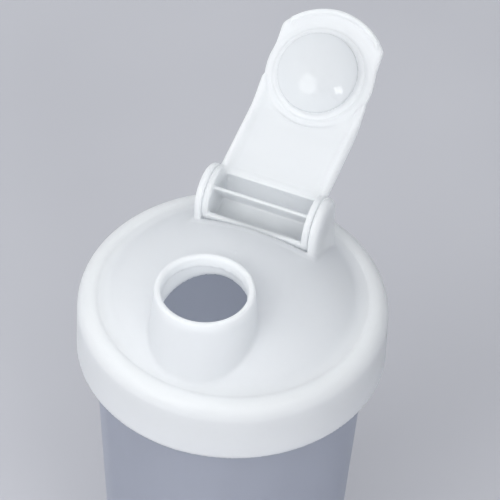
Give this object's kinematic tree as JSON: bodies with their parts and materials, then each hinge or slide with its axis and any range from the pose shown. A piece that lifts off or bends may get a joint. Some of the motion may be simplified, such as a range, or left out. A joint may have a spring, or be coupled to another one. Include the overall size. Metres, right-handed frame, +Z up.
{
  "type": "protein shaker bottle",
  "caption": "Tapered translucent shaker cup with a white screw lid, an off-centre drinking spout and a hinged flip cap that plugs it.",
  "frame": {"origin": "centre of the cup's flat base", "axes": "+Z up along the cup's axis, -Y towards the drinking spout, +X along the cap's hinge"},
  "size_m": [0.1008, 0.1372, 0.2229],
  "materials": {
    "cup": "translucent natural polypropylene with a fine satin surface",
    "seal": "soft off-white silicone",
    "lid": "white moulded polypropylene, satin",
    "cap": "white moulded polypropylene, satin, glossy on the plug"
  },
  "bodies": {
    "cup_body": {"cup": "cup"},
    "seal_body": {"lid_seal": "seal"},
    "lid_body": {"screw_lid": "lid"},
    "cap_body": {"flip_cap": "cap"}
  },
  "joints": [
    {"name": "lid_rise", "type": "slide", "parent": "cup_body", "child": "seal_body", "axis": [0, 0, 1], "range_m": [0, 0.024]},
    {"name": "lid_turn", "type": "hinge", "parent": "seal_body", "child": "lid_body", "pos_m": [0, 0, 0.165], "axis": [0, 0, 1], "range_deg": [0, 1440]},
    {"name": "cap_flip", "type": "hinge", "parent": "lid_body", "child": "cap_body", "pos_m": [0, 0.0241, 0.1865], "axis": [1, 0, 0], "range_deg": [0, 142]}
  ],
  "couplings": [
    {"joint": "lid_rise", "follows": "lid_turn", "m_per_rad": 0.00095493}
  ]
}
